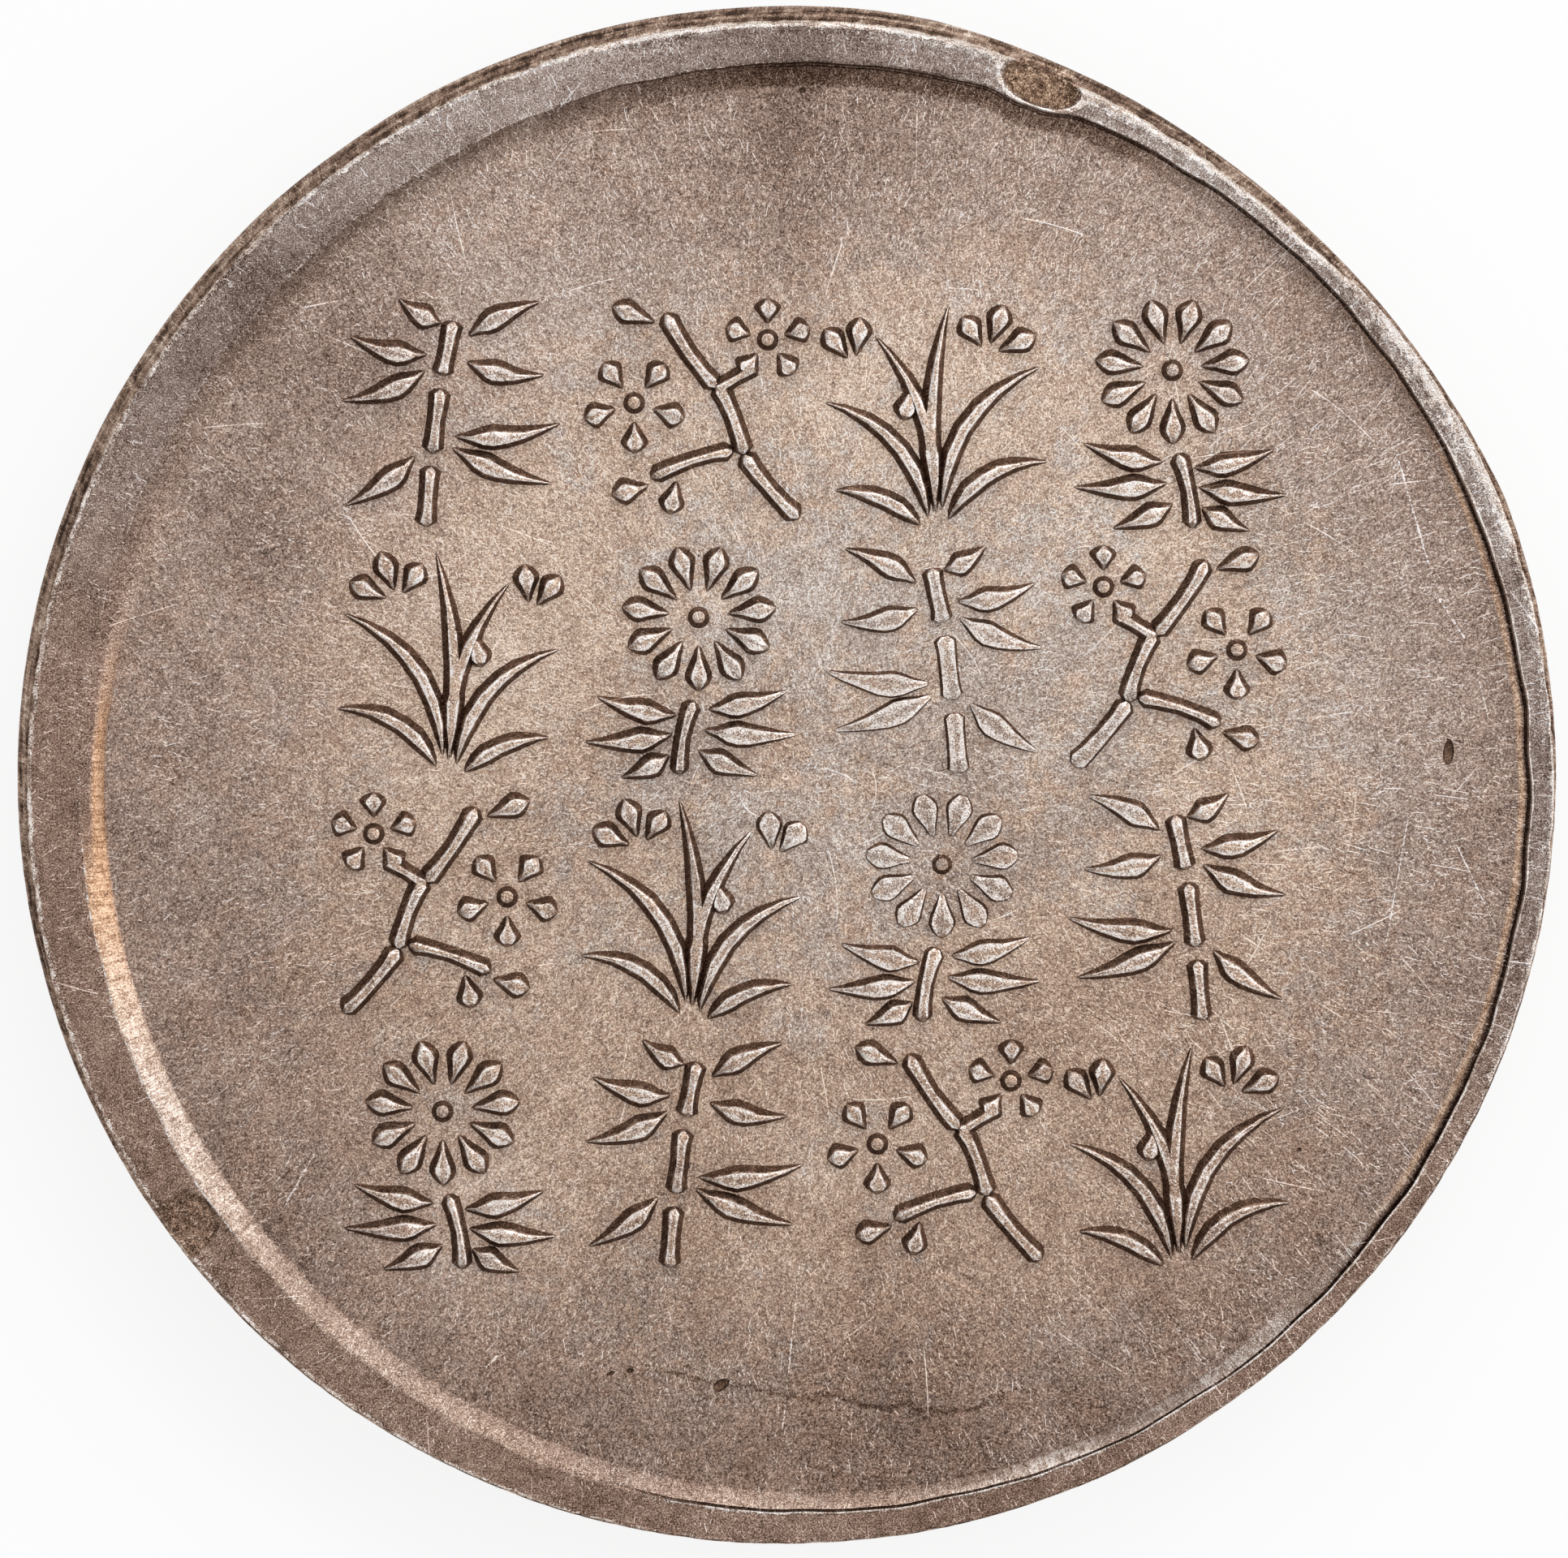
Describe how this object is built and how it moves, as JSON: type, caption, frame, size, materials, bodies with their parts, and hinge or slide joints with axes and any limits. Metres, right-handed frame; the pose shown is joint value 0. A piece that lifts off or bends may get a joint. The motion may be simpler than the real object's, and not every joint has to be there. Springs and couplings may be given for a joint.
{
  "type": "struck silver cake",
  "caption": "Round struck silver disc with a raised rim on each face, a recessed off-centre field and a block of raised sprig ornaments; lies flat on its rim.",
  "frame": {"origin": "centre of the disc's outside box, at the plane of the reverse rim it lies on", "axes": "+Z out of the obverse, +Y to the top of the obverse as pictured, +X to its right"},
  "size_m": [0.0404, 0.0404, 0.0033],
  "materials": {
    "silver": null
  },
  "bodies": {
    "root": {"silver_cake": "silver"}
  },
  "joints": []
}
